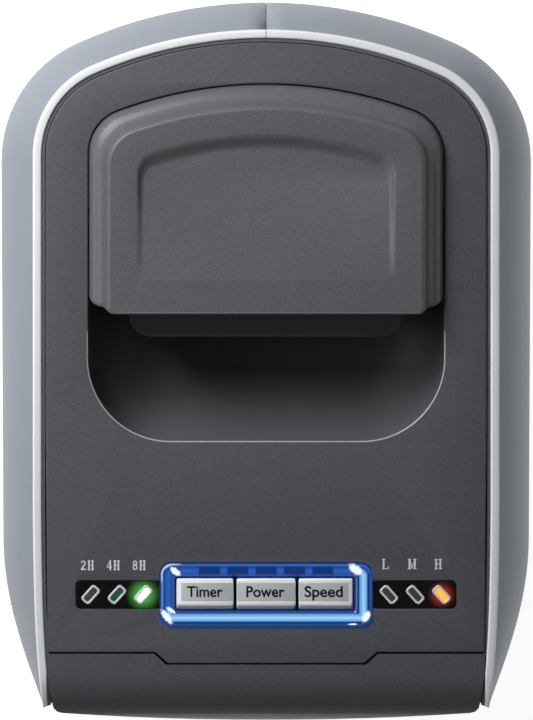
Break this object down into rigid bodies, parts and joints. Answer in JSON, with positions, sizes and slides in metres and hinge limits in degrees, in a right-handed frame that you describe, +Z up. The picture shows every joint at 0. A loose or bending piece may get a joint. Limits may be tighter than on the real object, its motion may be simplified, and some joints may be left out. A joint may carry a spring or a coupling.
{
  "type": "air purifier",
  "caption": "Box-shaped tower air purifier with a carry grip and finger pocket in its top, a front cover hinged at its foot, keys, lamp windows, filter and fan",
  "frame": {"origin": "on the floor, under the middle of the body", "axes": "+Z up, +X to the right as seen from the front, -Y to the front cover and the keys"},
  "size_m": [0.216, 0.292, 0.4],
  "materials": {
    "shell": "silver satin",
    "panel": "dark grey with fine metallic flakes",
    "hood": "dark grey with fine metallic flakes",
    "pocket": "dark grey with fine metallic flakes",
    "dark_plastic": "satin black",
    "rubber": "matte",
    "gloss_black": "gloss black",
    "silver_plastic": "satin silver",
    "window_dark": "smoked, unlit",
    "window_teal": "smoked green, unlit",
    "window_green": "lit green",
    "window_orange": "lit orange",
    "clear_blue": "clear plastic, lit blue",
    "black_part": "matte black",
    "board": "green solder mask",
    "lamp": "clear",
    "blue_lamp": "blue",
    "clear_guide": "clear plastic",
    "steel": "zinc plated",
    "grey_plastic": "moulded",
    "mesh": "moulded",
    "filter_card": "coated card",
    "filter_paper": "pleated paper",
    "fan_plastic": "moulded",
    "iron": "laminated sheet",
    "winding": "lacquered winding",
    "zinc_sheet": "zinc sheet",
    "bearing_brass": "sintered bronze",
    "capacitor_sleeve": "blue sleeve",
    "terminal_green": "moulded",
    "lead_black": "insulated lead",
    "lead_grey": "insulated lead",
    "magnet": "nickel plated"
  },
  "bodies": {
    "housing": {"chassis": "grey_plastic", "side_shell_left": "shell", "side_shell_right": "shell", "top_panel": "panel", "rear_grille": "dark_plastic", "base_plate": "dark_plastic", "feet": "rubber", "grip_hood": "hood", "grip_lip": "dark_plastic", "grip_pocket": "pocket", "indicator_lenses": "gloss_black", "lamp_frames": "silver_plastic", "window_2h": "window_dark", "window_4h": "window_teal", "window_8h": "window_green", "window_low": "window_dark", "window_medium": "window_dark", "window_high": "window_orange", "key_bezel": "clear_blue", "key_switches": "black_part", "control_board": "board", "indicator_lamps": "lamp", "blue_lamps": "blue_lamp", "light_guide": "clear_guide", "board_screws": "steel", "carry_bracket": "steel", "hood_screws": "steel", "prefilter": "mesh", "filter_frame": "filter_card", "filter_pleats": "filter_paper", "filter_gasket": "rubber", "inlet_ring": "grey_plastic", "fan_scroll": "grey_plastic", "fan_back": "grey_plastic", "motor_stator": "winding", "motor_can": "zinc_sheet", "motor_bearings": "bearing_brass", "motor_screws": "steel", "air_deflector": "grey_plastic", "power_board": "board", "transformer": "iron", "capacitor": "capacitor_sleeve", "terminal_block": "terminal_green", "motor_lead": "lead_black", "control_lead": "lead_grey", "cord_gland": "rubber", "base_screws": "steel", "cover_hinge_pins": "steel", "keeper_plates": "steel", "cover_switch": "black_part"},
    "cover": {"front_cover": "panel", "cover_magnets": "magnet"},
    "timer": {"timer_key": "silver_plastic"},
    "power": {"power_key": "silver_plastic"},
    "speed": {"speed_key": "silver_plastic"},
    "fan": {"fan_wheel": "fan_plastic", "motor_shaft": "steel", "motor_rotor": "iron"}
  },
  "joints": [
    {"name": "cover_hinge", "type": "hinge", "parent": "housing", "child": "cover", "pos_m": [0, -0.136, 0.014], "axis": [1, 0, 0], "range_deg": [0, 75]},
    {"name": "timer_press", "type": "slide", "parent": "housing", "child": "timer", "axis": [0, 0, -1], "range_m": [0, 0.001], "stiffness_N_per_m": 300},
    {"name": "power_press", "type": "slide", "parent": "housing", "child": "power", "axis": [0, 0, -1], "range_m": [0, 0.001], "stiffness_N_per_m": 300},
    {"name": "speed_press", "type": "slide", "parent": "housing", "child": "speed", "axis": [0, 0, -1], "range_m": [0, 0.001], "stiffness_N_per_m": 300},
    {"name": "fan_spin", "type": "hinge", "parent": "housing", "child": "fan", "pos_m": [0, 0, 0.18], "axis": [0, 1, 0], "continuous": true}
  ]
}
